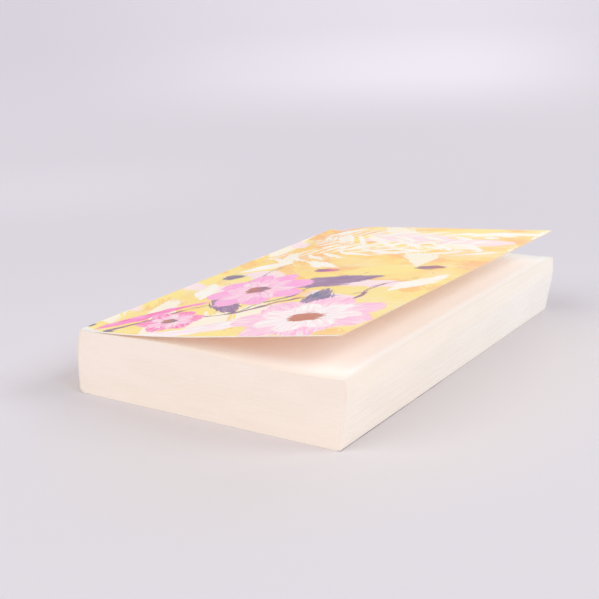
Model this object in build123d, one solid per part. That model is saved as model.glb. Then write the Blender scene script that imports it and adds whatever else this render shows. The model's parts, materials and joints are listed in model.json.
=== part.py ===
"""A thick paperback book that lies on its back cover, with its front cover sprung open a little.

The book is drawn in section, across its spine, and runs along Y from the tail of the pages to their
head. X runs from the spine to the fore-edge and Z is up. Reading has rolled the book: the foot of the
spine stands out past its top edge, and the foot of the fore-edge is set back by as much.
"""
from build123d import *
import math
import os

# The trimmed book, in millimetres
book_width = 129.0        # from the top edge of the spine to the top edge of the fore-edge
book_height = 198.0       # from the tail to the head
block_thickness = 28.1    # all the leaves, as they lie

# The cover card and the glue behind the leaves
card = 0.3
glue_film = 0.4
hinge_strip = 7.0         # glued border of each cover, from the spine to the score line
score_gap = 0.15          # between a glued strip and its cover leaf, along the score line

# The rolled spine
spine_roll = 3.2          # how far the foot of the spine stands out past its top edge
spine_top_slope = 0.4     # how fast it moves out below its top edge, for each millimetre down
shoulder_out = 2.1        # how far its shoulder stands out
shoulder_drop = 7.5       # how far the shoulder lies below the top
spine_top_round = 1.0     # outer radius of the card round the top edge
spine_foot_round = 2.5    # outer radius of the card round the bottom edge
leaf_back_top = 0.6       # bevel of the page backs at the top edge
leaf_back_foot = 2.1      # bevel of the page backs at the bottom edge

# The rolled fore-edge
fore_roll = 3.2           # how far the foot of the fore-edge is set back
fore_swell = 0.3          # how far its fullest line stands out
fore_swell_drop = 8.0     # how far that line lies below the top
fore_waist_back = 1.4     # how far its waist is set back
fore_waist_drop = 18.8    # how far the waist lies below the top

# The top leaf, which waves a little between the glued strip and the fore-edge
first_page_drop = 0.1     # where the strip's glue ends
wave_crest = 0.5
wave_crest_at = 38.0      # from the top edge of the spine
wave_dip = 1.3
wave_dip_at = 101.0
fore_sag_tail = 0.3       # how far the top leaf's fore-edge lies low, at the tail
fore_sag_head = 1.2       # and at the head
fore_curl = 0.05          # how steeply it curls up to its fore-edge, for each millimetre along

# The cut edges, where bundles of leaves lie a hair apart
gap_count = 12
gap_height = 0.12
gap_depth = 0.2
gap_unevenness = 0.3      # share of the spacing by which the gaps stray from even places

# The front cover's leaf: it leaves the score line at one angle, bends, and runs on straight
tail_start_angle = 3.5
tail_end_angle = 9.2
tail_bend_length = 60.0
head_start_angle = 14.0
head_end_angle = 4.4
head_bend_length = 30.0

# Heights that follow
book_thickness = block_thickness + 2 * card
block_low = card
block_high = card + block_thickness
front_score_at = hinge_strip
back_score_at = hinge_strip - spine_roll
leaf_width = book_width - hinge_strip


def spine_side(inset, low, high):
    """Everything from the spine's curve, moved in by inset, to the score lines, between two heights."""
    reach = hinge_strip
    curve = Spline(
        (inset, book_thickness),
        (inset - shoulder_out, book_thickness - shoulder_drop),
        (inset - spine_roll, 0),
        tangents=[(-spine_top_slope, -1), (0, -1)],
    )
    foot = Line(curve @ 1, (reach, 0))
    end = Line(foot @ 1, (reach, book_thickness))
    top = Line(end @ 1, curve @ 0)
    region = make_face([curve, foot, end, top])
    middle = Pos(0, (low + high) / 2)
    return region & middle * Rectangle(4 * reach, high - low)


def corner(region, upper):
    """The region's corner on the spine, at its top or its bottom."""
    level = region.vertices().group_by(Axis.Y)[-1 if upper else 0]
    return level.sort_by(Axis.X)[0]


def rounded(region, top_radius, foot_radius):
    """The region with its two corners on the spine rounded."""
    region = fillet(corner(region, True), top_radius)
    return fillet(corner(region, False), foot_radius)


def bevelled(region, top_length, foot_length):
    """The region with its two corners on the spine cut off at 45 degrees."""
    for upper, length in ((True, top_length), (False, foot_length)):
        tip = corner(region, upper)
        inward = -1 if upper else 1
        start = (tip.X + length, tip.Y)
        outer = (tip.X - length, tip.Y)
        end = (tip.X - length, tip.Y + inward * 2 * length)
        region = region - make_face(Polyline(start, outer, end, close=True))
    return region


def inside_card():
    """The space behind the card of the spine, for the glue and the backs of the pages."""
    space = spine_side(card, block_low, block_high)
    return rounded(space, spine_top_round - card, spine_foot_round - card)


def page_backs():
    """The pages' own end of that space."""
    return bevelled(spine_side(card + glue_film, block_low, block_high), leaf_back_top, leaf_back_foot)


def along_book(region):
    """A section made into a solid from the tail to the head."""
    return extrude(Plane.XZ * region, -book_height)


def fore_edge_line(inset, fore_sag):
    """The fore-edge, from its foot up to the top leaf, moved in by inset."""
    width = book_width - inset
    return Spline(
        (width - fore_roll, block_low),
        (width - fore_waist_back, book_thickness - fore_waist_drop),
        (width + fore_swell, book_thickness - fore_swell_drop),
        (width, block_high - fore_sag),
    )


def leaf_line(share, end_at, fore_sag):
    """A leaf at a share of the block's height, from end_at to the score lines, in section.

    The bottom leaf lies flat on the back cover, and the leaves above take up the top leaf's wave.
    """
    level = block_low + share * block_thickness
    return Spline(
        (end_at, level - share * fore_sag),
        (wave_dip_at, level - share * wave_dip),
        (wave_crest_at, level + share * wave_crest),
        (hinge_strip, level - share * first_page_drop),
        tangents=[(-1, -share * fore_curl), (-1, 0)],
    )


def page_front(fore_sag):
    """The pages from the score lines to the fore-edge, in section."""
    top_leaf = leaf_line(1, book_width, fore_sag)
    fore_edge = fore_edge_line(0, fore_sag)
    foot = Line((hinge_strip, block_low), fore_edge @ 0)
    back = Line(top_leaf @ 1, foot @ 0)
    return make_face([foot, fore_edge, top_leaf, back])


def page_gap_section(share, fore_sag):
    """The thin gap between two bundles of leaves, in section, drawn past the edges of the block."""
    leaf = leaf_line(share, book_width + fore_roll, fore_sag)
    strip = Line(leaf @ 1, (-2 * spine_roll, (leaf @ 1).Y))
    back = Line(strip @ 1, strip @ 1 + Vector(0, gap_height))
    strip_above = Pos(0, gap_height) * strip
    leaf_above = Pos(0, gap_height) * leaf
    fore_end = Line(leaf_above @ 0, leaf @ 0)
    return make_face([leaf, strip, back, strip_above, leaf_above, fore_end])


def inner_pages():
    """The block as far in from its cut edges as the gaps reach."""
    edge = fore_edge_line(gap_depth, 0)
    foot = Line((-2 * spine_roll, block_low), edge @ 0)
    top = Line(edge @ 1, (-2 * spine_roll, block_high))
    back = Line(top @ 1, foot @ 0)
    section = Plane.XZ.offset(-gap_depth) * make_face([foot, edge, top, back])
    return extrude(section, -(book_height - 2 * gap_depth))


def page_gaps():
    """The gaps between the bundles, round the tail, the fore-edge and the head."""
    core = inner_pages()
    gaps = []
    for number in range(gap_count):
        share = (number + 1 + gap_unevenness * math.sin(number ** 2)) / (gap_count + 1)
        tail = Plane.XZ * page_gap_section(share, fore_sag_tail)
        head = Plane.XZ.offset(-book_height) * page_gap_section(share, fore_sag_head)
        gaps.append(loft([tail, head], ruled=True) - core)
    return gaps


def page_block():
    """All the leaves, as one solid, with fine gaps between bundles of them at the cut edges."""
    tail = Plane.XZ * page_front(fore_sag_tail)
    head = Plane.XZ.offset(-book_height) * page_front(fore_sag_head)
    front = loft([tail, head], ruled=True)
    return front + along_book(page_backs()) - page_gaps()


def binding_glue():
    """The film of glue between the page backs and the card."""
    return along_book(inside_card() - page_backs())


def spine_cover():
    """The card of the spine, with the two strips that are glued to the first and last pages."""
    outside = rounded(spine_side(0, 0, book_thickness), spine_top_round, spine_foot_round)
    wrap = outside - inside_card()
    end_of_top_strip = front_score_at - score_gap / 2
    end_of_foot_strip = back_score_at - score_gap / 2
    above = Pos(0, book_thickness) * Rectangle(2 * end_of_top_strip, book_thickness)
    below = Rectangle(2 * end_of_foot_strip, book_thickness)
    return along_book(wrap & (above + below))


def bent_line(start, start_angle, end_angle, bend_length, bend_radius, length):
    """An arc that turns from one angle to the other, and a straight line to the end of the leaf."""
    heading = (math.cos(math.radians(start_angle)), math.sin(math.radians(start_angle)))
    bend = JernArc(start, heading, bend_radius, end_angle - start_angle)
    run = Line(bend @ 1, bend @ 1 + (bend % 1) * (length - bend_length))
    return bend, run


def front_leaf_section(start_angle, end_angle, bend_length):
    """The front cover's card, in section."""
    turn = math.radians(end_angle - start_angle)
    radius = bend_length / abs(turn)
    side = 1 if turn > 0 else -1
    length = leaf_width - score_gap / 2
    across = Vector(math.sin(math.radians(start_angle)), -math.cos(math.radians(start_angle)))
    upper_start = Vector(front_score_at + score_gap / 2, book_thickness)
    lower_start = upper_start + across * card
    upper = bent_line(upper_start, start_angle, end_angle, bend_length, radius, length)
    lower = bent_line(lower_start, start_angle, end_angle, bend_length, radius + side * card, length)
    hinge_end = Line(upper_start, lower_start)
    fore_end = Line(upper[1] @ 1, lower[1] @ 1)
    return make_face([*upper, *lower, hinge_end, fore_end])


def front_cover():
    """The front leaf of the cover, which bends one way at the tail and the other way at the head."""
    tail = Plane.XZ * front_leaf_section(tail_start_angle, tail_end_angle, tail_bend_length)
    head = Plane.XZ.offset(-book_height) * front_leaf_section(
        head_start_angle, head_end_angle, head_bend_length
    )
    return loft([tail, head], ruled=True)


def back_cover():
    """The back leaf of the cover, flat under the pages."""
    start = back_score_at + score_gap / 2
    end = book_width - fore_roll
    return along_book(Pos((start + end) / 2, card / 2) * Rectangle(end - start, card))


pieces = {
    "page_block": page_block(),
    "binding_glue": binding_glue(),
    "spine_cover": spine_cover(),
    "front_cover": front_cover(),
    "back_cover": back_cover(),
}

# The origin is the middle of the book's outer box, on the surface that it lies on
box = Compound(list(pieces.values())).bounding_box()
origin = Vector((box.min.X + box.max.X) / 2, (box.min.Y + box.max.Y) / 2, box.min.Z)

os.makedirs("parts", exist_ok=True)
for name, piece in pieces.items():
    export_step(Pos(-origin) * piece, f"parts/{name}.step")

print("front score line at x, z:", front_score_at - origin.X, book_thickness - origin.Z)
print("back score line at x, z:", back_score_at - origin.X, -origin.Z)
print("size:", box.size)
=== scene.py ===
"""The looks of a thick paperback book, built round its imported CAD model.

Sizes are in millimetres, in the frame of the CAD model: X runs from the spine to the fore-edge, Y from the
tail of the pages to their head, and Z up from the surface that the book lies on. Meshes are made in metres.
"""
import json
import math

import bpy
import numpy as np
from mathutils import Matrix, Vector


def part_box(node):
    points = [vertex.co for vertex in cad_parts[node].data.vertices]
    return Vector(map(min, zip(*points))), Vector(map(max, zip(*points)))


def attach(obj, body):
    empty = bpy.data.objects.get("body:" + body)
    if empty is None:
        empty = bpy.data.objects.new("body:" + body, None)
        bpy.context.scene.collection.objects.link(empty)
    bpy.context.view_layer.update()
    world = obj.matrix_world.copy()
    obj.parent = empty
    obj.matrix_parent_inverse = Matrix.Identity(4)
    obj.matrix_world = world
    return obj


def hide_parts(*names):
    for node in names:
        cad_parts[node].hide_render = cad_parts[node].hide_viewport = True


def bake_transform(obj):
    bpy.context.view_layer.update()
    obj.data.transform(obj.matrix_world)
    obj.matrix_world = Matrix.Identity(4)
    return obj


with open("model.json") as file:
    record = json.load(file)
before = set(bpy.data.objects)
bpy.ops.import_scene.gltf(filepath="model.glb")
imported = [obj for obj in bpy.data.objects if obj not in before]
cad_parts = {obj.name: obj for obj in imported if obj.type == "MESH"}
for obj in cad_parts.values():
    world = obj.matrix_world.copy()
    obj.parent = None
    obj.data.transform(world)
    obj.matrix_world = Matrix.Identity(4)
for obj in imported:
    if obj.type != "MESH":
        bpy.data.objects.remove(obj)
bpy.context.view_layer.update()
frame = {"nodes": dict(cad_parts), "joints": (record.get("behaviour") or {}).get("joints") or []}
scene = bpy.context.scene

METRES = 0.001

# The cover card, the glue and the rolled spine, with the sizes of the CAD model
card = 0.3
glue_film = 0.4
hinge_strip = 7.0
spine_roll = 3.2
spine_top_slope = 0.4
shoulder_out = 2.1
shoulder_drop = 7.5
spine_top_round = 1.0
spine_foot_round = 2.5
leaf_back_top = 0.6
leaf_back_foot = 2.1

# The rolled fore-edge and the waved top leaf
fore_roll = 3.2
fore_swell = 0.3
fore_swell_drop = 8.0
fore_waist_back = 1.4
fore_waist_drop = 18.8
first_page_drop = 0.1
wave_crest = 0.5
wave_crest_at = 38.0
wave_dip = 1.3
wave_dip_at = 101.0
fore_sag_tail = 0.3
fore_sag_head = 1.2
fore_curl = 0.05

# The gaps between bundles of leaves
gap_count = 12
gap_depth = 0.2
gap_unevenness = 0.3

# The front leaf of the cover
tail_start_angle = 3.5
tail_end_angle = 9.2
tail_bend_length = 60.0
head_start_angle = 14.0
head_end_angle = 4.4
head_bend_length = 30.0

# Places that the frame gives
hinges = {joint["name"]: Vector(joint["pos_m"]) / METRES for joint in frame["joints"]}
front_score = hinges["front_cover_hinge"]
back_score = hinges["back_cover_hinge"]
spine_edge = front_score.x - hinge_strip
thickness = front_score.z
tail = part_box("spine_cover")[0].y / METRES
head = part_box("spine_cover")[1].y / METRES
back_fore_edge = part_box("back_cover")[1].x / METRES
block_low = card
block_high = thickness - card
block_height = block_high - block_low
book_width = back_fore_edge + fore_roll - spine_edge
book_height = head - tail
leaf_width = book_width - hinge_strip


def smooth_curve(knots, values, first_slope=None, last_slope=None):
    """A smooth function through the values at the knots. An end with no slope is left free."""
    knots = np.asarray(knots, float)
    values = np.asarray(values, float)
    steps = np.diff(knots)
    rises = np.diff(values) / steps
    system = np.zeros((len(knots), len(knots)))
    wanted = np.zeros(len(knots))
    for i in range(1, len(steps)):
        before, after = steps[i - 1:i + 1]
        system[i, i - 1:i + 2] = (1 / before, 2 / before + 2 / after, 1 / after)
        wanted[i] = 3 * (rises[i - 1] / before + rises[i] / after)
    for row, inner, rise, slope in ((0, 1, rises[0], first_slope), (-1, -2, rises[-1], last_slope)):
        free = slope is None
        system[row, row] = 2 if free else 1
        system[row, inner] = 1 if free else 0
        wanted[row] = 3 * rise if free else slope
    slopes = np.linalg.solve(system, wanted)

    def value_at(place):
        place = np.asarray(place, float)
        part = np.clip(np.searchsorted(knots, place) - 1, 0, len(steps) - 1)
        width = steps[part]
        t = (place - knots[part]) / width
        start = values[part] * (1 + 2 * t) * (1 - t) ** 2 + slopes[part] * width * t * (1 - t) ** 2
        end = values[part + 1] * (3 - 2 * t) * t ** 2 - slopes[part + 1] * width * t ** 2 * (1 - t)
        return start + end

    return value_at


# The spine, in section, as heights and distances from the spine's edge
spine_heights = [0.0, thickness - shoulder_drop, thickness]
spine_curve = smooth_curve(spine_heights, [-spine_roll, -shoulder_out, 0.0], 0.0, spine_top_slope)
round_steps = 10          # points on each of the spine's rounded edges
side_steps = 26           # points on its side, with two that the rounded edges have


def arc(middle, radius, start, end):
    """Points round an edge of the spine, in section, from one angle to another."""
    angles = np.linspace(start, end, round_steps)
    return middle + radius * np.column_stack([np.cos(angles), np.sin(angles)])


def spine_path():
    """The outside of the card from the back score line to the front one, in section."""
    top_turn = math.pi / 2 - math.atan(spine_top_slope)
    top_reach = spine_top_round * math.tan(top_turn / 2)
    top_fall = top_reach * math.cos(math.atan(spine_top_slope))
    foot_middle = (spine_edge - spine_roll + spine_foot_round, spine_foot_round)
    top_middle = (spine_edge + top_reach, thickness - spine_top_round)
    heights = np.linspace(spine_foot_round, thickness - top_fall, side_steps)[1:-1]
    return np.vstack([
        (back_score.x, 0.0),
        arc(foot_middle, spine_foot_round, math.radians(270), math.radians(180)),
        np.column_stack([spine_edge + spine_curve(heights), heights]),
        arc(top_middle, spine_top_round, math.pi / 2 + top_turn, math.pi / 2),
        (front_score.x, thickness),
    ])


def path_normals(path):
    """The direction out of the card at each point of a path with the card on its right."""
    ahead = np.diff(path, axis=0)
    ahead /= np.linalg.norm(ahead, axis=1)[:, None]
    mean = np.vstack([ahead[:1], ahead[:-1] + ahead[1:], ahead[-1:]])
    mean /= np.linalg.norm(mean, axis=1)[:, None]
    return np.column_stack([-mean[:, 1], mean[:, 0]])


def path_lengths(path):
    """The distance along a path of each of its points."""
    return np.concatenate([[0.0], np.cumsum(np.linalg.norm(np.diff(path, axis=0), axis=1))])


# The cover is one flat sheet before it is wrapped. A place on it is the distance from the spine's top edge,
# which is less than nothing on the spine and the back leaf, and the distance from the tail.
wrap_length = path_lengths(spine_path())[-1]
sheet_end = hinge_strip - wrap_length - (back_fore_edge - back_score.x)   # the back leaf's fore-edge


def make_piece(name, points, faces, face_materials, materials, flat=None, smooth=True):
    """A mesh object from points in millimetres. flat gives each point's place in a map of its own."""
    mesh = bpy.data.meshes.new(name)
    mesh.from_pydata((np.asarray(points) * METRES).tolist(), [], faces)
    for material in materials:
        mesh.materials.append(material)
    mesh.polygons.foreach_set("material_index", face_materials)
    mesh.polygons.foreach_set("use_smooth", [smooth] * len(faces))
    if flat is not None:
        layer = mesh.uv_layers.new(name="flat")
        corners = np.zeros(len(mesh.loops), int)
        mesh.loops.foreach_get("vertex_index", corners)
        layer.data.foreach_set("uv", np.asarray(flat, np.float32)[corners].ravel())
    mesh.validate()
    piece = bpy.data.objects.new(name, mesh)
    scene.collection.objects.link(piece)
    return piece


# Shader nodes, made by calls
class Value:
    """The output of a shader node, which can be used in sums."""

    def __init__(self, socket):
        self.socket = socket

    def also(self, output):
        """Another output of the same node."""
        return Value(self.socket.node.outputs[output])

    def __add__(self, other):
        return maths("ADD", self, other)

    def __sub__(self, other):
        return maths("SUBTRACT", self, other)

    def __rsub__(self, other):
        return maths("SUBTRACT", other, self)

    def __mul__(self, other):
        return maths("MULTIPLY", self, other)

    def __truediv__(self, other):
        return maths("DIVIDE", self, other)

    def __rtruediv__(self, other):
        return maths("DIVIDE", other, self)

    def __mod__(self, other):
        return maths("FLOORED_MODULO", self, other)

    def __abs__(self):
        return maths("ABSOLUTE", self)


def put(socket, value):
    """Links a value to a socket, or sets the socket to a number or a colour."""
    if isinstance(value, Value):
        socket.id_data.links.new(value.socket, socket)
    else:
        socket.default_value = value


def node(tree, kind, inputs=None, **settings):
    made = tree.nodes.new(kind)
    for name, value in settings.items():
        setattr(made, name, value)
    for name, value in (inputs or {}).items():
        put(made.inputs[name], value)
    return made


def out(kind, output, inputs, **settings):
    """An output of a new node, which is made in the tree that its inputs come from."""
    tree = next(value.socket.id_data for value in inputs.values() if isinstance(value, Value))
    return Value(node(tree, kind, inputs, **settings).outputs[output])


def maths(operation, *values, clamp=False):
    return out("ShaderNodeMath", 0, dict(enumerate(values)), operation=operation, use_clamp=clamp)


def least(first, *others):
    for other in others:
        first = maths("MINIMUM", first, other)
    return first


def most(first, *others):
    for other in others:
        first = maths("MAXIMUM", first, other)
    return first


def vectors(operation, first, second=(0.0, 0.0, 0.0), output="Vector"):
    return out("ShaderNodeVectorMath", output, {0: first, 1: second}, operation=operation)


def stretched(point, x, y, z=1.0):
    return vectors("MULTIPLY", point, (x, y, z))


def split(point):
    """The first two coordinates of a point."""
    x = out("ShaderNodeSeparateXYZ", "X", {"Vector": point})
    return x, x.also("Y")


def ramp(value, low, high, first=0.0, last=1.0):
    """first below low, last above high, and a smooth rise between them."""
    inputs = {"Value": value, "From Min": low, "From Max": high, "To Min": first, "To Max": last}
    return out("ShaderNodeMapRange", "Result", inputs, interpolation_type="SMOOTHSTEP")


def mix(share, below, above):
    """Two colours, mixed. A Mix node has their sockets at 6 and 7, and the result at 2."""
    return out("ShaderNodeMix", 2, {0: share, 6: below, 7: above}, data_type="RGBA")


def tint(share, colour, factors):
    """The colour, multiplied by the factors as far as share says."""
    return mix(share, colour, vectors("MULTIPLY", colour, factors))


def noise(point, scale, detail=2.0, roughness=0.5, dimensions="2D", output="Fac"):
    inputs = {"Vector": point, "Scale": scale, "Detail": detail, "Roughness": roughness}
    return out("ShaderNodeTexNoise", output, inputs, noise_dimensions=dimensions)


def relief(inputs, height, depth):
    """Gives a surface a fine relief."""
    put(inputs["Normal"], out("ShaderNodeBump", 0, {"Height": height, "Distance": depth * METRES}))


def srgb(red, green, blue):
    """A colour as a screen shows it, made into the renderer's own numbers."""
    shares = [value / 255 for value in (red, green, blue)]
    linear = [share / 12.92 if share <= 0.04045 else ((share + 0.055) / 1.055) ** 2.4 for share in shares]
    return (*linear, 1.0)


def new_material(name, roughness=0.5, specular=0.5):
    """A material with a single Principled shader: (material, the shader's inputs)."""
    material = bpy.data.materials.new(name)
    material.use_nodes = True
    inputs = material.node_tree.nodes["Principled BSDF"].inputs
    inputs["Roughness"].default_value = roughness
    inputs["Specular IOR Level"].default_value = specular
    return material, inputs


def flat_place(material):
    """The place in the piece's own map, in millimetres."""
    return Value(node(material.node_tree, "ShaderNodeUVMap", uv_map="flat").outputs["UV"])


def object_place(material):
    """The place in the part's frame, in metres."""
    return Value(node(material.node_tree, "ShaderNodeTexCoord").outputs["Object"])


# The shapes of the print. From a point's place along and across a shape and the shape's sizes, each gives how
# deep the point lies inside it, and its place along and across the bristles.
paint_edge = 0.3          # over which a painted shape fades into what is under it
brush_roughness = 1.1     # how far the bristles make its outline stray
stem_half_width = 0.6
leaflet_slant = 1.1       # how far a leaflet leans along the stem, for each millimetre off it
leaflet_fill = 0.5        # share of the pitch that a leaflet takes up
petal_shift = 3 * math.e  # between the bristles of one petal and the next


def fullness(share):
    """1 where share is 0, and 0 where it is 1 or -1."""
    return 1.0 - share * share


def round_ends(share):
    """0 where share is 0 or 1, and a quick round rise to 1 between them."""
    within = out("ShaderNodeClamp", 0, {"Value": share})
    return maths("SQRT", maths("SINE", within * math.pi))


def radius_of(along, across):
    return maths("SQRT", along * along + across * across)


def lens(along, across, length, width):
    """A leaf-shaped patch with two points."""
    half = width * 0.5 * fullness(along / (length * 0.5))
    return half - abs(across), along, across


def disc(along, across, radius, stretch):
    """A round patch, which is stretched along its angle."""
    return radius - radius_of(along / stretch, across), along, across


def bloom(along, across, petals, inner, outer, width):
    """A ring of petals round a middle, from an inner to an outer radius."""
    angle = maths("ARCTAN2", across, along)
    sector = 2 * math.pi / petals
    petal = maths("FLOOR", angle / sector)
    off_middle = angle - (petal + 0.5) * sector
    radius = radius_of(along, across)
    far = radius * maths("COSINE", off_middle)
    aside = radius * maths("SINE", off_middle)
    past_inner = far - inner
    half = width * 0.5 * round_ends(past_inner / (outer - inner))
    return least(half - abs(aside), past_inner, outer - far), far, aside + petal * petal_shift


def frond(along, across, length, bend, pitch, reach):
    """A bent stem with slanted leaflets on both sides, a pitch apart and as long as its reach."""
    share = along / length
    off_stem = across - bend * share * share
    aside = abs(off_stem)
    leaflet_reach = reach * round_ends(share)
    side_shift = maths("SIGN", off_stem) * pitch * 0.25
    off_middle = (along - aside * leaflet_slant + side_shift) % pitch - pitch * 0.5
    half = pitch * 0.5 * leaflet_fill * round_ends(aside / (leaflet_reach + 0.01))
    leaflet = least(half - abs(off_middle), leaflet_reach - aside)
    return least(most(leaflet, stem_half_width - aside), least(along, length - along)), aside, off_middle


def ribbon(along, across, length, width, swing, wave):
    """A waved band, widest in its middle, that swings to both sides over each wave."""
    off_line = across - swing * maths("SINE", along / wave * (2 * math.pi))
    half = width * 0.5 * fullness(along / (length * 0.5))
    return half - abs(off_line), along, off_line


def shape_group(shape, *sizes):
    """A node group for a shape at X, Y, turned by Angle. Its Shade has the bristles."""
    group = bpy.data.node_groups.new(shape.__name__, "ShaderNodeTree")
    sockets = [("Point", "INPUT", "NodeSocketVector")]
    sockets += [(title, "INPUT", "NodeSocketFloat") for title in ("X", "Y", "Angle") + sizes]
    sockets += [(title, "OUTPUT", "NodeSocketFloat") for title in ("Mask", "Shade")]
    for title, way, kind in sockets:
        group.interface.new_socket(name=title, in_out=way, socket_type=kind)
    size = {socket.name: Value(socket) for socket in node(group, "NodeGroupInput").outputs}
    x, y = split(size["Point"])
    over = x - size["X"]
    up = y - size["Y"]
    angle = maths("RADIANS", size["Angle"])
    cosine = maths("COSINE", angle)
    sine = maths("SINE", angle)
    own_sizes = [size[name] for name in sizes]
    depth, along, across = shape(over * cosine + up * sine, up * cosine - over * sine, *own_sizes)
    stroke = out("ShaderNodeCombineXYZ", 0, {"X": along, "Y": across})
    bristles = noise(stretched(stroke, 0.1, 1.0), 0.9, detail=1.0, roughness=0.6)
    rough = ramp(bristles, 0.25, 0.75, -brush_roughness, brush_roughness)
    mask = ramp(depth + rough, -paint_edge, paint_edge)
    node(group, "NodeGroupOutput", {"Mask": mask, "Shade": ramp(bristles, 0.35, 0.65)})
    return group


# Colours of the print
yellow = srgb(255, 233, 140)
gold = srgb(255, 213, 122)
orange = srgb(255, 194, 116)
cream = srgb(255, 247, 226)
white = srgb(255, 254, 253)
blush = srgb(255, 230, 236)
pink = srgb(255, 168, 228)
rose = srgb(255, 190, 226)
magenta = srgb(248, 106, 166)
plum = srgb(150, 112, 150)
dusk = srgb(176, 140, 172)
slate = srgb(112, 118, 146)
rust = srgb(205, 126, 92)

# The brush dabs of the ground
dab_length = 34.0
dab_width = 13.0
warm_from = 30.0          # distances from the tail between which the ground turns warmer
warm_at = 190.0


def dabs(point, angle, shift, rarity):
    """Scattered brush dabs that lie at an angle. A higher rarity leaves fewer of them."""
    turn = {"Vector": point, "Angle": math.radians(angle)}
    turned = out("ShaderNodeVectorRotate", 0, turn, rotation_type="Z_AXIS")
    place = vectors("ADD", turned, (shift, shift, 0.0))
    cell_place = stretched(place, 1 / dab_length, 1 / dab_width)
    cell_inputs = {"Vector": cell_place, "Scale": 1.0}
    from_middle = out("ShaderNodeTexVoronoi", "Distance", cell_inputs, voronoi_dimensions="2D")
    bristles = noise(stretched(place, 0.08, 0.9), 1.0, detail=1.0, roughness=0.6)
    edge = from_middle + ramp(bristles, 0.25, 0.75, -0.12, 0.12)
    chance = out("ShaderNodeSeparateColor", 0, {"Color": from_middle.also("Color")})
    return ramp(edge, 0.5, 0.54, 1.0, 0.0) * maths("GREATER_THAN", chance, rarity)


def painted_ground(point):
    """Brush dabs of yellow, orange and cream, which turn warmer towards the head."""
    y = split(point)[1]
    streaks = noise(stretched(point, 0.12, 0.03), 1.0, detail=4.0, roughness=0.6)
    stray = ramp(streaks, 0.3, 0.7, -0.3, 0.3)
    height = maths("ADD", ramp(y, warm_from, warm_at), stray, clamp=True)
    picture = mix(height, yellow, gold)
    for angle, shift, rarity, colour in (
        (40, 0.0, 0.55, mix(height, gold, orange)),
        (-25, 300.0, 0.6, yellow),
        (62, 700.0, 0.72, cream),
        (10, 900.0, 0.84, blush),
    ):
        picture = mix(dabs(point, angle, shift, rarity), picture, colour)
    haze = noise(stretched(point, 0.02, 0.09), 1.0, detail=5.0, roughness=0.65)
    return mix(ramp(haze, 0.42, 0.72, 0.0, 0.36), picture, cream)


# The shapes on each piece of the card, in the order in which they are painted. A row starts with the place
# on the flat sheet and, but for a bud, the angle.
# Lenses: length, width
cream_leaves = {
    "front_card": (
        (18, 66, 118, 30, 11), (22, 112, 40, 34, 12), (118, 84, 68, 32, 11), (60, 116, 158, 30, 9),
        (28, 188, 14, 44, 9), (118, 186, 10, 40, 8),
    ),
    "spine_card": ((-14, 150, 80, 34, 9),),
    "back_card": ((-58, 40, 30, 34, 12), (-130, 92, 110, 34, 12), (-74, 164, 70, 34, 11)),
}
# Fronds: length, bend, pitch, reach. A frond's place is the foot of its stem.
sprigs = {
    "front_card": (
        (4, 128, 12, 118, 14, 12.0, 17), (128, 144, 171, 122, -10, 12.5, 17),
        (10, 178, -3, 112, 8, 11.5, 13),
    ),
    "spine_card": ((-16, 62, 90, 76, 0, 9.0, 10),),
    "back_card": ((-146, 132, 8, 96, 12, 12.0, 16),),
}
# Ribbons: length, width, swing, wave, colour, streaks
ribbons = {
    "front_card": (
        (16, 24, 52, 66, 8, 3, 70, magenta, pink),
        (22, 20, 54, 64, 2, 3, 70, rust, plum),
        (64, 14, 20, 92, 12, 4, 110, white, blush),
        (70, 44, 38, 66, 1.8, 3, 50, rust, plum),
        (76, 66, 66, 52, 1.4, 2, 34, rust, slate),
        (104, 66, 74, 50, 1.5, 3, 44, rust, plum),
        (34, 96, 80, 44, 1.3, 2, 30, rust, dusk),
    ),
    "spine_card": (),
    "back_card": ((-100, 16, 160, 90, 7, 4, 90, magenta, pink),),
}
# Lenses: length, width, colour, streaks
dark_leaves = {
    "front_card": (
        (80, 84, 28, 46, 18, plum, dusk), (46, 46, 140, 40, 13, dusk, plum),
        (88, 56, 100, 34, 11, slate, dusk), (14.5, 2.2, 22, 6, 2.6, plum, slate),
    ),
    "spine_card": ((0.5, 6.5, 96, 6, 2.4, slate, plum),),
    "back_card": ((-96, 62, 48, 40, 15, plum, dusk),),
}
# Blooms: petals, radius, width of a petal, colours of the back ring, the front ring and the heart
blooms = {
    "front_card": (
        (98, 27, 12, 7, 31, 22, blush, white, rust),
        (50, 70, 8, 8, 28, 17, pink, rose, plum),
        (34, 20, 0, 6, 15, 12, magenta, rose, slate),
    ),
    "spine_card": ((-16, 24, 0, 6, 11, 9, magenta, rose, slate),),
    "back_card": ((-118, 46, 20, 8, 26, 17, pink, rose, plum),),
}
# Buds: radius, colour
buds = {
    "front_card": ((14, 92, 4.5, slate), (112, 112, 3.5, rust), (72, 104, 3, magenta)),
    "spine_card": (),
    "back_card": ((-84, 104, 4, slate),),
}
bloom_inner = 2           # radius at which the petals start
front_ring = 0.7          # size of the front ring of petals, as a share of the back one
front_petal = 0.62        # width of its petals
heart_share = 0.2
heart_angle = 30
heart_stretch = 1.2
bud_angle = 20
bud_stretch = 1.5


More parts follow.
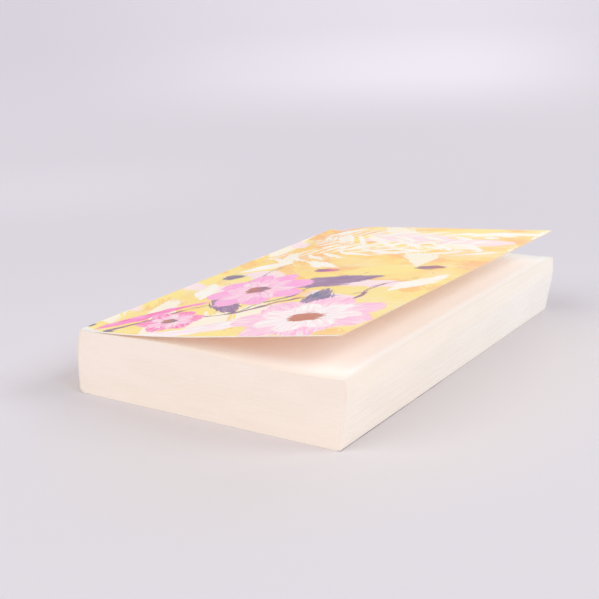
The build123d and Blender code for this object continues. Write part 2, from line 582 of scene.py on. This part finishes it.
def cover_print(point, piece, groups):
    """A generic garden print on a piece of the card, on a ground of brush dabs."""
    picture = painted_ground(point)

    def lay(shape, colour, streaks, *numbers):
        """Paints a shape with its place, angle and sizes, in a colour with streaks of another."""
        nonlocal picture
        inputs = dict(enumerate((point, *numbers)))
        mask = out("ShaderNodeGroup", "Mask", inputs, node_tree=groups[shape])
        picture = mix(mask, picture, mix(mask.also("Shade"), colour, streaks))

    for row in cream_leaves[piece]:
        lay(lens, cream, white, *row)
    for row in sprigs[piece]:
        lay(frond, white, cream, *row)
    for shape, table in ((ribbon, ribbons), (lens, dark_leaves)):
        for *numbers, colour, streaks in table[piece]:
            lay(shape, colour, streaks, *numbers)

    # Two rings of petals round a heart, and the front ring's lie between the back ring's
    for x, y, turn, petals, outer, width, back, front, heart in blooms[piece]:
        lay(bloom, back, rose, x, y, turn, petals, bloom_inner, outer, width)
        between = turn + 180 / petals
        lay(bloom, front, blush, x, y, between, petals, bloom_inner, front_ring * outer, front_petal * width)
        lay(disc, heart, rust, x, y, heart_angle, heart_share * outer, heart_stretch)
    for x, y, radius, colour in buds[piece]:
        lay(disc, colour, plum, x, y, bud_angle, radius, bud_stretch)
    return picture


# The card of the cover
card_clearness = 0.1      # share of the light that each face of the card lets through
card_gloss = 0.25         # of bare card, as the shader's specular level
laminate_ior = 1.45

# Wear of the cover, with painted light in two places: a contact shadow on the back leaf's fore-edge cut, and
# a highlight at the spine's tail corner
bare_card = srgb(246, 243, 240)
clean_cut = srgb(250, 244, 234)
inked_cut = srgb(248, 212, 172)
# The back leaf's fore-edge cut: a painted contact shadow at the base, dark near the tail and lighter towards
# the head
cut_painted_shadow_tail = srgb(138, 128, 134)
cut_painted_shadow_head = srgb(224, 216, 214)
tail_wear = 0.5           # mean width of the white line along the tail's cut edge
other_wear = 0.08         # and along the other cut edges
# The bare patch at the spine's tail corner is partly wear and partly a painted highlight of the gloss at the
# crease
corner_wear_and_highlight = 14.0       # length of the bare patch at the spine's tail corner
patch_slope = 4.0         # how much sooner it ends away from the tail
patch_stray = 4.0         # how ragged it is


def let_light_through(material, colour):
    """Lets some of the light on one face of the card come out of the other."""
    nodes = material.node_tree.nodes
    solid = Value(nodes["Principled BSDF"].outputs[0])
    clear = out("ShaderNodeBsdfTranslucent", 0, {"Color": colour})
    mixed = out("ShaderNodeMixShader", 0, {0: card_clearness, 1: solid, 2: clear})
    put(nodes["Material Output"].inputs["Surface"], mixed)


def wear_and_highlight_mask(point):
    """1 where the print is gone: along the cut edges, and in a bare patch at the spine's corner at the tail,
    which is partly wear and partly a painted highlight of the gloss at the crease.
    """
    x, y = split(point)
    rough = ramp(noise(point, 0.8, detail=4.0, roughness=0.7), 0.3, 0.7, 0.4, 1.6)
    from_others = least(book_height - y, book_width - x, x - sheet_end)
    line = ramp(most(rough * tail_wear - y, rough * other_wear - from_others), -0.1, 0.1)
    stray = noise(point, 0.35, detail=4.0, roughness=0.7)
    # The bare patch at the corner: partly wear, partly a painted highlight
    along = abs(x) + y * patch_slope + ramp(stray, 0.2, 0.8, -patch_stray, patch_stray)
    return most(line, ramp(corner_wear_and_highlight - along, -0.5, 0.5))


def laminate_material(piece, groups):
    """Printed card under a gloss laminate, with the print worn off along the edges."""
    material, inputs = new_material(f"printed_{piece}")
    place = flat_place(material)
    wobble = vectors("SUBTRACT", noise(place, 0.12, output="Color"), (0.5, 0.5, 0.5))
    point = vectors("ADD", place, stretched(wobble, 3.0, 3.0, 0.0))
    picture = cover_print(point, piece, groups)
    picture = mix(wear_and_highlight_mask(place), picture, bare_card)
    put(inputs["Base Color"], picture)
    smudges = noise(place, 0.05, detail=3.0, roughness=0.6)
    put(inputs["Roughness"], ramp(smudges, 0.3, 0.7, 0.3, 0.42))
    relief(inputs, noise(place, 0.9), 0.02)
    inputs["IOR"].default_value = laminate_ior
    let_light_through(material, mix(0.15, picture, bare_card))
    return material


def board_material(name, colour, roughness):
    """Uncoated card: the inside of the cover, or its cut edge."""
    material, inputs = new_material(name, roughness, card_gloss)
    fibre_place = stretched(flat_place(material), 1.0, 0.3)
    fibres = noise(fibre_place, 1.4, detail=5.0, roughness=0.7)
    darker = tuple(0.98 * part for part in colour[:3]) + (1.0,)
    shade = mix(ramp(fibres, 0.3, 0.7), darker, colour)
    put(inputs["Base Color"], shade)
    relief(inputs, fibres, 0.015)
    let_light_through(material, shade)
    return material


def leaf_edge_material(name, fore_edge_at, near_tail, near_head):
    """A cover leaf's cut edge, with another colour along the fore-edge: ink on the front leaf, and a painted
    contact shadow on the back leaf.
    """
    material, inputs = new_material(name, 0.9, card_gloss)
    place = flat_place(material)
    x, y = split(place)
    patchy = ramp(noise(place, 0.06, detail=3.0, roughness=0.6), 0.3, 0.7, 0.6, 1.0)
    share = ramp(abs(x - fore_edge_at), 0.5, 1.5, 1.0, 0.0) * patchy
    colour = mix(ramp(y, 60.0, 150.0), near_tail, near_head)
    put(inputs["Base Color"], mix(share, clean_cut, colour))
    return material


# The paper of the pages, warmer at the tail than at the head: painted light, standing in for cooler light at
# the head
page_warm = srgb(255, 249, 245)
page_cool = srgb(254, 251, 249)
edge_warm = srgb(254, 243, 234)
edge_cool = srgb(254, 248, 243)
paper_shade = (0.95, 0.93, 0.9)
page_border_tint = (0.99, 0.935, 0.89)
page_middle_tint = (1.0, 0.98, 0.93)
page_border_ends = (0.5, 3.5)         # distances from the fore-edge over which the border fades
page_middle_starts = (12.0, 45.0)     # and over which the middle comes in
tail_border_share = 0.4               # a distance from the tail counts for this much of one
upper_edge_tint = (1.0, 0.97, 0.93)   # of the fore-edge's upper leaves
upper_edge_from = (14.0, 27.0)        # heights between which it comes in
corner_blend = 4.0                    # on each side of the corner, from the tail's looks to the fore-edge's
tail_streaks = 0.2                    # strength of the streaks at the tail
fore_streaks = 0.3                    # and at the fore-edge
paper_roughness = 0.9
paper_gloss = 0.2


def paper_colour(material, warm, cool, shade):
    """Paper from warm at the tail to cool at the head (a painted shift in the light's colour), a little
    darker as far as shade says.
    """
    y = split(object_place(material))[1]
    colour = mix(ramp(y, tail * METRES, head * METRES), warm, cool)
    return tint(shade, colour, paper_shade)


def paper_material():
    """The face of a page: uncoated cream book paper."""
    material, inputs = new_material("page_face", paper_roughness, paper_gloss)
    place = flat_place(material)
    fibres = noise(place, 2.5, detail=5.0, roughness=0.7)
    mottle = noise(place, 0.02, detail=3.0) * 0.5 + fibres * 0.5
    colour = paper_colour(material, page_warm, page_cool, ramp(mottle, 0.3, 0.7, 0.0, 0.3))
    x, y = split(place)
    from_edge = least(spine_edge + book_width - x, (y - tail) * tail_border_share)
    colour = tint(ramp(from_edge, *page_border_ends, 1.0, 0.0), colour, page_border_tint)
    colour = tint(ramp(from_edge, *page_middle_starts), colour, page_middle_tint)
    put(inputs["Base Color"], colour)
    relief(inputs, fibres, 0.01)
    return material


def page_edge_material():
    """The cut edges of the leaves, with streaks along them and soft clouds."""
    material, inputs = new_material("page_edges", paper_roughness, paper_gloss)
    place = flat_place(material)
    fine = noise(stretched(place, 0.015, 6.0), 1.0, detail=3.0, roughness=0.6)
    clouds = noise(stretched(place, 0.04, 0.11), 1.0, detail=1.0, roughness=0.4)
    bundles = noise(stretched(place, 0.006, 0.5), 1.0)
    rare = noise(stretched(place, 0.006, 1.6), 1.0, detail=1.0)
    leaves = ramp(fine, 0.35, 0.7, 0.0, 0.15) + ramp(bundles, 0.35, 0.65, 0.0, 0.3)
    leaves = maths("ADD", leaves, ramp(rare, 0.67, 0.72, 0.0, 0.9), clamp=True)
    x, y = split(place)
    past_corner = ramp(x, book_width - corner_blend, book_width + corner_blend)
    shade = leaves * ramp(past_corner, 0.0, 1.0, tail_streaks, fore_streaks)
    shade = shade + ramp(clouds, 0.35, 0.65, 0.0, 0.24)
    colour = paper_colour(material, edge_warm, edge_cool, shade)
    upper = past_corner * ramp(y, *upper_edge_from)
    put(inputs["Base Color"], tint(upper, colour, upper_edge_tint))
    relief(inputs, noise(stretched(place, 0.02, 2.0), 1.0), 0.006)
    return material


def quads(grid):
    """The faces between points whose numbers a grid holds."""
    corners = (grid[:-1, :-1], grid[:-1, 1:], grid[1:, 1:], grid[1:, :-1])
    return np.stack(corners, axis=-1).reshape(-1, 4).tolist()


def border(grid):
    """The numbers round a grid's border, in the same turn as its faces."""
    return np.concatenate([grid[0, :-1], grid[:-1, -1], grid[-1, :0:-1], grid[:0:-1, 0]])


def closed(ring):
    """Rows of a grid that end where they start."""
    return np.hstack([ring, ring[:, :1]])


# The meshes of the card
seam_inset = 1.2          # from each score line to the seam between the spine's card and a leaf
corner_radius = 0.7       # of the blunted free corners
row_pitch = 6.0           # between rows of points across the card, which are closer near the corners
corner_points = 5         # across each free corner
front_strip_points = 9    # from the front leaf's seam to its score line, and on the first of its bend
back_strip_points = 17    # from the back leaf's seam to as far past its score line
bend_points = 25          # over the rest of the front leaf's bend
run_points = 14           # along its straight part
back_points = 22          # along the back leaf
first_of_bend = 0.02      # share of the bend with close points
last_of_run = 0.0115      # share of the straight part with close points, at the fore-edge


def card_piece(name, flat, tail_line, head_line, materials, blunt_last=False):
    """A stretch of the cover's sheet, ruled from a line at the tail to one at the head.

    A line is (outer points, inner points) in section. flat has their distances on the flat sheet.
    """
    near = np.linspace(0, corner_radius, corner_points)
    between = np.linspace(corner_radius, book_height - corner_radius, int(book_height / row_pitch) + 1)
    rows = np.concatenate([near, between[1:-1], book_height - near[::-1]])
    shares = (rows / book_height)[:, None, None]
    over, up = np.broadcast_arrays(flat, rows[:, None])
    layers = []
    for tail_points, head_points in zip(tail_line, head_line):
        section = tail_points * (1 - shares) + head_points * shares
        layers.append(np.stack([section[..., 0], tail + up, section[..., 1]], axis=-1))
    places = np.stack([over, up], axis=-1)
    if blunt_last:
        blunt_corners(layers, places, flat, rows)
    points = np.concatenate([layer.reshape(-1, 3) for layer in layers])
    flat_places = np.concatenate([places.reshape(-1, 2)] * 2)
    outer, inner = np.arange(len(points)).reshape(2, *over.shape)
    outside = quads(outer)
    faces = outside + [face[::-1] for face in quads(inner)]
    rim = quads(closed(np.stack([border(inner), border(outer)])))
    kinds = [0] * len(outside) + [1] * len(outside) + [2] * len(rim)
    piece = make_piece(name, points, faces + rim, kinds, materials, flat_places)
    sharpen_rim(piece)
    return piece


def blunt_corners(layers, places, flat, rows):
    """Rounds the two corners at the last column by moving points along the sheet."""
    from_fore = np.abs(flat[-1] - flat)
    for row, height in enumerate(rows):
        for column in np.nonzero(from_fore < corner_radius)[0]:
            up = min(height, book_height - height)
            inward = np.array([corner_radius - from_fore[column], corner_radius - up])
            reach = np.linalg.norm(inward)
            if up >= corner_radius or reach <= corner_radius:
                continue
            move = inward * (corner_radius / reach - 1)
            side = 1 if height < book_height / 2 else -1
            sign = 1 if flat[-1] > flat[0] else -1
            places[row, column] += (sign * move[0], -side * move[1])
            for layer in layers:
                run = layer[row, -1] - layer[row, 1 - corner_points]
                run = run / np.linalg.norm(run)
                layer[row, column] += move[0] * run
                layer[row, column, 1] -= side * move[1]


def sharpen_rim(piece):
    """Keeps the card's cut edges crisp under smooth shading."""
    mesh = piece.data
    kinds = {}
    for polygon in mesh.polygons:
        for key in polygon.edge_keys:
            kinds.setdefault(key, set()).add(polygon.material_index)
    sharp = [len(kinds[edge.key]) > 1 for edge in mesh.edges]
    layer = mesh.attributes.new("sharp_edge", "BOOLEAN", "EDGE")
    layer.data.foreach_set("value", sharp)


def leaf_lines(start_angle, end_angle, bend_length, bend_shares, run_shares):
    """The front leaf from its score line, in section: (outer points, inner points, distances)."""
    start = math.radians(start_angle)
    turn = math.radians(end_angle - start_angle)
    angles = np.concatenate([start + turn * bend_shares, np.full(len(run_shares), start + turn)])
    under = card * np.column_stack([np.sin(angles), -np.cos(angles)])
    bend = angles[:len(bend_shares)]
    arc_places = np.column_stack([np.sin(bend) - math.sin(start), math.cos(start) - np.cos(bend)])
    outer = bend_length / turn * arc_places
    run_lengths = (leaf_width - bend_length) * run_shares
    ahead = np.array([math.cos(start + turn), math.sin(start + turn)])
    outer = np.vstack([outer, outer[-1] + run_lengths[:, None] * ahead]) + (front_score.x, thickness)
    return outer, outer + under, np.concatenate([bend_length * bend_shares, bend_length + run_lengths])


def build_spine_card(materials):
    """The card round the spine, from seam to seam. Returns its back seam's place on the sheet."""
    wrap = spine_path()
    wrap[[0, -1], 0] -= seam_inset
    flat = path_lengths(wrap)
    flat += hinge_strip - seam_inset - flat[-1]
    line = (wrap, wrap - card * path_normals(wrap))
    spine = card_piece("spine_card", flat, line, line, materials)
    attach(spine, "block")
    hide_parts("spine_cover")
    return flat[0]


def build_front_card(materials):
    """The front leaf and a strip up to its seam."""
    seam = front_score.x - seam_inset
    strip = np.linspace((seam, thickness), (front_score.x, thickness), front_strip_points)[:-1]
    strip_flat = hinge_strip - seam_inset + (strip[:, 0] - strip[0, 0])
    bend_shares = np.concatenate([
        np.linspace(0, first_of_bend, front_strip_points),
        np.linspace(first_of_bend, 1, bend_points)[1:],
    ])
    run_shares = np.concatenate([
        np.linspace(0, 1, run_points)[1:-1],
        1 - last_of_run * np.linspace(1, 0, corner_points),
    ])
    lines = []
    flats = []
    for angles in (
        (tail_start_angle, tail_end_angle, tail_bend_length),
        (head_start_angle, head_end_angle, head_bend_length),
    ):
        outer, inner, lengths = leaf_lines(*angles, bend_shares, run_shares)
        lines.append((np.vstack([strip, outer]), np.vstack([strip - (0, card), inner])))
        flats.append(np.concatenate([strip_flat, hinge_strip + lengths]))
    front = card_piece("front_card", flats[0], *lines, materials, blunt_last=True)
    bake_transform(front)
    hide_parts("front_cover")


def build_back_card(materials, seam_flat):
    """The back leaf, flat under the pages, and a strip up to its seam."""
    strip = np.linspace((back_score.x + seam_inset, 0), (back_score.x - seam_inset, 0), back_strip_points)
    corner = np.linspace((back_fore_edge, 0), (back_fore_edge - corner_radius, 0), corner_points)
    middle = np.linspace(corner[-1], strip[0], back_points)[1:-1]
    outer = np.vstack([corner, middle, strip])[::-1]
    flat = seam_flat - (outer[:, 0] - outer[0, 0])
    line = (outer, outer + (0, card))
    back = card_piece("back_card", flat, line, line, materials, blunt_last=True)
    back.data.flip_normals()
    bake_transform(back)
    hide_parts("back_cover")


def build_cover():
    """The cover's sheet of card: the spine's wrap and the two leaves."""
    inside = board_material("card_inside", srgb(255, 250, 243), 0.85)
    cut_edges = {
        "spine_card": board_material("card_cut_edge", clean_cut, 0.9),
        "front_card": leaf_edge_material("front_cut_edge", book_width, inked_cut, inked_cut),
        # The back leaf's fore-edge cut carries a painted contact shadow
        "back_card": leaf_edge_material("back_cut_edge", sheet_end, cut_painted_shadow_tail, cut_painted_shadow_head),
    }
    groups = {
        lens: shape_group(lens, "Length", "Width"),
        disc: shape_group(disc, "Radius", "Stretch"),
        bloom: shape_group(bloom, "Petals", "Inner", "Outer", "Width"),
        frond: shape_group(frond, "Length", "Bend", "Pitch", "Reach"),
        ribbon: shape_group(ribbon, "Length", "Width", "Swing", "Wave"),
    }
    materials = {
        piece: [laminate_material(piece, groups), inside, cut_edge]
        for piece, cut_edge in cut_edges.items()
    }
    back_seam = build_spine_card(materials["spine_card"])
    build_front_card(materials["front_card"])
    build_back_card(materials["back_card"], back_seam)


# The leaves
leaf_count = 230
groove_depth = 0.012
leaf_bevel = 0.2          # share of a leaf on each side that slopes down to a groove
bundle_stray = 0.004      # how far the leaves' edges wander, from one leaf to the next
leaf_stray = 0.012        # and how far a single one lies back
swing_depth = 0.012       # how far a leaf's edge swings in and out on its way round the block
swing_length = 60.0
edge_relief = 0.2         # share of these depths that the cut edges have
across_count = 22
along_count = 14
glue_step = 0.1           # width over which the first page steps down past the glued strip


# The wave of the top leaf and the line of the fore-edge, at the tail and at the head
page_curves = []
for sag in (fore_sag_tail, fore_sag_head):
    wave = smooth_curve(
        [hinge_strip, wave_crest_at, wave_dip_at, book_width],
        [-first_page_drop, wave_crest, -wave_dip, -sag], 0.0, fore_curl,
    )
    fore_line = smooth_curve(
        [block_low, thickness - fore_waist_drop, thickness - fore_swell_drop, block_high - sag],
        [book_width - fore_roll, book_width - fore_waist_back, book_width + fore_swell, book_width],
    )
    page_curves.append((wave, fore_line, sag))


def page_back(level):
    """How far the backs of the pages reach towards the spine at a height."""
    film = card + glue_film
    curve = spine_curve(level) + film
    top_bevel = spine_curve(block_high) + film + leaf_back_top - (block_high - level)
    foot_bevel = spine_curve(block_low) + film + leaf_back_foot - (level - block_low)
    return np.maximum(curve, np.maximum(top_bevel, foot_bevel))


def page_places(share, over, up, depth):
    """Points at a share of the block's height, and at shares over from the spine and up from the tail."""
    x_flat = over * book_width
    past_strip = x_flat > hinge_strip + glue_step / 2
    level = 0
    fore = 0
    for (wave, fore_line, sag), weight in zip(page_curves, (1 - up, up)):
        rise = np.where(past_strip, wave(np.clip(x_flat, hinge_strip, book_width)), 0.0)
        level = level + weight * (block_low + share * (block_height + rise))
        fore = fore + weight * fore_line(block_low + share * (block_height - sag))
    back = page_back(block_low + share * block_height)
    near = back + (hinge_strip - back) * x_flat / hinge_strip
    far = hinge_strip + (x_flat - hinge_strip) / leaf_width * (fore - hinge_strip)
    x = spine_edge + np.where(x_flat <= hinge_strip, near, far) - depth * (over >= 1)
    y = tail + up * book_height + depth * (up <= 0) - depth * (up >= 1)
    return np.stack([x, y, level], axis=-1)


def leaf_rows():
    """The rows of points up the cut edges: (share of the height, depth, number of the leaf)."""
    dice = np.random.default_rng(7)
    gap_leaves = set()
    for number in range(gap_count):
        share = (number + 1 + gap_unevenness * math.sin(number ** 2)) / (gap_count + 1)
        gap_leaves.add(round(share * leaf_count))
    bundle = np.cumsum(dice.normal(0, bundle_stray, leaf_count))
    bundle -= np.linspace(bundle[0], bundle[-1], leaf_count)
    single = np.abs(dice.normal(0, leaf_stray, leaf_count))
    rows = []
    for leaf in range(leaf_count):
        depth = gap_depth if leaf in gap_leaves else max(0.0, float(single[leaf] + bundle[leaf]))
        rows.append((leaf / leaf_count, depth + groove_depth, leaf))
        rows.append(((leaf + leaf_bevel) / leaf_count, depth, leaf))
        rows.append(((leaf + 1 - leaf_bevel) / leaf_count, depth, leaf))
    rows[0] = (0.0, rows[1][1], 0)
    rows.append((1.0, rows[-1][1], leaf_count - 1))
    return rows


def build_pages():
    """The page block with the edge of each leaf, in the form of the CAD model's block."""
    beyond = np.linspace(hinge_strip + glue_step, book_width, across_count - 3)
    across = np.concatenate([[0.0, hinge_strip / 2, hinge_strip], beyond]) / book_width
    along = np.linspace(0, 1, along_count)

    # The outline of a leaf in plan, anticlockwise
    plan = np.arange(across_count * along_count).reshape(along_count, across_count)
    outline = border(plan)
    loop = len(outline)
    over = across[outline % across_count]
    up = along[outline // across_count]
    steps = np.hypot(np.diff(over) * book_width, np.diff(up) * book_height)
    perimeter = np.concatenate([[0.0], np.cumsum(steps)])

    # The cut edges, as a row of points for each bevel of each leaf
    rows = leaf_rows()
    swing = np.random.default_rng(11).uniform(0, 2 * math.pi, leaf_count)
    points = []
    flats = []
    for share, depth, leaf in rows:
        uneven = swing_depth * np.sin(perimeter / swing_length + swing[leaf]) + swing_depth
        points.append(page_places(share, over, up, edge_relief * (depth + uneven)))
        flats.append(np.column_stack([perimeter, np.full(loop, share * block_height)]))
    points = np.concatenate(points)
    flats = np.concatenate(flats)
    leaf_numbers = np.arange(len(points)).reshape(len(rows), loop)
    faces = quads(closed(leaf_numbers))
    kinds = [1] * len(faces)

    # The faces of the first and the last page, on a grid that shares the outline's points
    inner_up, inner_over = np.meshgrid(along[1:-1], across[1:-1], indexing="ij")
    for share, ring in ((0.0, leaf_numbers[0]), (1.0, leaf_numbers[-1])):
        numbers = np.zeros_like(plan)
        numbers.ravel()[outline] = ring
        numbers[1:-1, 1:-1] = len(points) + np.arange(inner_up.size).reshape(inner_up.shape)
        points = np.vstack([points, page_places(share, inner_over.ravel(), inner_up.ravel(), 0.0)])
        flats = np.vstack([flats, np.zeros((inner_up.size, 2))])
        page = quads(numbers)
        faces += page if share else [face[::-1] for face in page]
        kinds += [0] * len(page)
    materials = [paper_material(), page_edge_material()]
    pages = make_piece("pages", points, faces, kinds, materials, flats, smooth=False)
    map_page_faces(pages)
    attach(pages, "block")
    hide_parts("page_block")


def map_page_faces(pages):
    """Maps the faces of the first and last page by their plan, and shades them smooth."""
    mesh = pages.data
    layer = mesh.uv_layers["flat"]
    for polygon in mesh.polygons:
        if polygon.material_index == 0:
            polygon.use_smooth = True
            for corner, vertex in zip(polygon.loop_indices, polygon.vertices):
                place = mesh.vertices[vertex].co / METRES
                layer.data[corner].uv = (place.x, place.y)


def dress_glue():
    """Pale hot-melt glue between the page backs and the card. It keeps its CAD form."""
    glue = frame["nodes"]["binding_glue"]
    material, inputs = new_material("spine_glue")
    lumps = noise(object_place(material), 900.0, detail=3.0, dimensions="3D")
    put(inputs["Base Color"], mix(lumps, srgb(240, 230, 216), srgb(250, 242, 230)))
    relief(inputs, lumps, 0.05)
    for slot in glue.material_slots:
        slot.material = material


# The camera, fitted to the corners of the block and the cover. Its yaw is from +Y towards -X.
camera_place = Vector((270.71, -432.6, 175.4))
camera_yaw = math.radians(33.8)
camera_pitch = math.radians(16.55)
camera_roll = math.radians(-2.16)
camera_lens = 70.08
sensor_width = 36.0

# The stage: a plain floor, whose colour changes slowly round a spot near the camera, with painted light and
# shade in it
floor_size = 14000.0
floor_drop = 0.05
floor_roughness = 0.8
floor_gloss = 0.1
floor_spot = Vector((270.0, -430.0, 0.0))
floor_near = srgb(217, 212, 219)
floor_middle = srgb(211, 205, 214)
# Painted shade on the far left, a painted lighter band, and a painted glow of light far off on the right
floor_left_painted_shade = srgb(207, 201, 212)
floor_painted_light_band = srgb(216, 209, 219)
floor_painted_glow = srgb(231, 224, 235)

# Painted bounce light: the floor is warmer near the book's open sides, where the pages throw light back on it
floor_painted_bounce = srgb(220, 213, 214)
warm_middle = Vector((30.0, -30.0, 0.0))
warm_reach = Vector((66.0, 99.0, 1000.0))

# Each colour over the near one, and the ramps whose product is its share. They follow the distance from the
# spot in metres, the slope to the right of the camera's way, or the distance from the warm middle in reaches.
floor_layers = (
    (floor_middle, (("spot", 0.42, 0.8, 0.0, 1.0),)),
    (floor_painted_bounce, (("book", 1.0, 1.9, 0.8, 0.0),)),
    (floor_left_painted_shade, (("spot", 1.0, 2.6, 0.0, 1.0), ("slope", -0.28, 0.0, 1.0, 0.0))),
    (floor_painted_light_band, (
        ("spot", 0.78, 0.93, 0.0, 1.0), ("spot", 0.95, 1.12, 1.0, 0.0), ("slope", -0.2, 0.0, 0.75, 0.0),
    )),
    (floor_painted_glow, (
        ("spot", 1.15, 1.75, 0.0, 1.0), ("spot", 1.75, 3.0, 1.0, 0.52),
        ("slope", -0.22, 0.13, 0.0, 1.0), ("slope", 0.13, 0.33, 1.0, 0.0),
    )),
)


def floor_colour(place):
    """A pale floor with a painted glow of light far off on the right, and painted shade on the far left."""
    over = vectors("SUBTRACT", place, tuple(floor_spot * METRES))
    ahead_axis = (-math.sin(camera_yaw), math.cos(camera_yaw), 0.0)
    side_axis = (math.cos(camera_yaw), math.sin(camera_yaw), 0.0)
    ahead = vectors("DOT_PRODUCT", over, ahead_axis, output="Value")
    aside = vectors("DOT_PRODUCT", over, side_axis, output="Value")
    beside = vectors("SUBTRACT", place, tuple(warm_middle * METRES))
    beside = vectors("DIVIDE", beside, tuple(warm_reach * METRES))
    measures = {
        "spot": vectors("LENGTH", over, output="Value"),
        "slope": aside / most(ahead, 0.001),
        "book": vectors("LENGTH", beside, output="Value"),
    }
    colour = floor_near
    for layer, ramps in floor_layers:
        first, *others = [ramp(measures[measure], *ends) for measure, *ends in ramps]
        colour = mix(math.prod(others, start=first), colour, layer)
    return colour


def build_floor():
    """A plain pale floor."""
    half = floor_size / 2
    corners = [(-half, -half), (half, -half), (half, half), (-half, half)]
    points = [(x, y, -floor_drop) for x, y in corners]
    material, inputs = new_material("floor", floor_roughness, floor_gloss)
    put(inputs["Base Color"], floor_colour(object_place(material)))
    make_piece("floor", points, [[0, 1, 2, 3]], [0], [material])


# The light: an even sky, which the camera sees as a plain colour, and soft lamps far off
sky_strength = 0.522
sky_colour = (1.0, 0.985, 0.964, 1.0)
sky_seen = srgb(219, 214, 224)

light_bounces = 24        # many, because light crosses the card and runs between pale pages

# Each lamp: name, azimuth from +X, height and width in degrees, share of full light, colour
lamps = (
    ("front_left", 240.0, 45.0, 50.0, 0.398, (1.0, 0.993, 0.978)),
    ("back_right", 25.0, 34.0, 28.0, 0.338, (0.90, 0.974, 1.0)),
    ("right", 345.0, 42.0, 16.0, 0.103, (0.71, 0.92, 1.0)),
    ("back", 90.0, 20.0, 50.0, 0.156, (0.99, 0.99, 1.0)),
    ("front", 290.0, 20.0, 16.0, 0.045, (1.0, 0.42, 0.12)),
)


def build_light():
    """Soft light from all round, and the lamps."""
    world = bpy.data.worlds.new("studio")
    world.use_nodes = True
    tree = world.node_tree
    sky = tree.nodes["Background"]
    put(sky.inputs["Color"], sky_colour)
    put(sky.inputs["Strength"], sky_strength)
    seen = node(tree, "ShaderNodeBackground", {"Color": sky_seen, "Strength": 1.0})
    camera_ray = Value(node(tree, "ShaderNodeLightPath").outputs["Is Camera Ray"])
    is_seen = most(camera_ray, camera_ray.also("Is Glossy Ray"), camera_ray.also("Is Transmission Ray"))
    skies = {0: is_seen, 1: Value(sky.outputs[0]), 2: Value(seen.outputs[0])}
    put(tree.nodes["World Output"].inputs["Surface"], out("ShaderNodeMixShader", 0, skies))
    scene.world = world
    for name, azimuth, height, width, share, colour in lamps:
        lamp = bpy.data.lights.new(name, "SUN")
        lamp.angle = math.radians(width)
        lamp.energy = share * math.pi
        lamp.color = colour
        made = bpy.data.objects.new(name, lamp)
        made.rotation_euler = (0.0, math.radians(90 - height), math.radians(azimuth))
        scene.collection.objects.link(made)


def build_camera():
    """The camera, turned by its yaw, its pitch down and its roll."""
    camera = bpy.data.cameras.new("camera")
    camera.lens = camera_lens
    camera.sensor_width = sensor_width
    camera.clip_start = 0.01
    camera.clip_end = 100.0
    made = bpy.data.objects.new("camera", camera)
    turn = Matrix.Rotation(camera_yaw, 4, "Z") @ Matrix.Rotation(math.pi / 2 - camera_pitch, 4, "X")
    roll = Matrix.Rotation(camera_roll, 4, "Z")
    made.matrix_world = Matrix.Translation(camera_place * METRES) @ turn @ roll
    scene.collection.objects.link(made)
    scene.camera = made


build_pages()
build_cover()
dress_glue()
build_floor()
build_light()
build_camera()
scene.view_settings.view_transform = "Standard"

scene.cycles.max_bounces = light_bounces
scene.cycles.diffuse_bounces = light_bounces
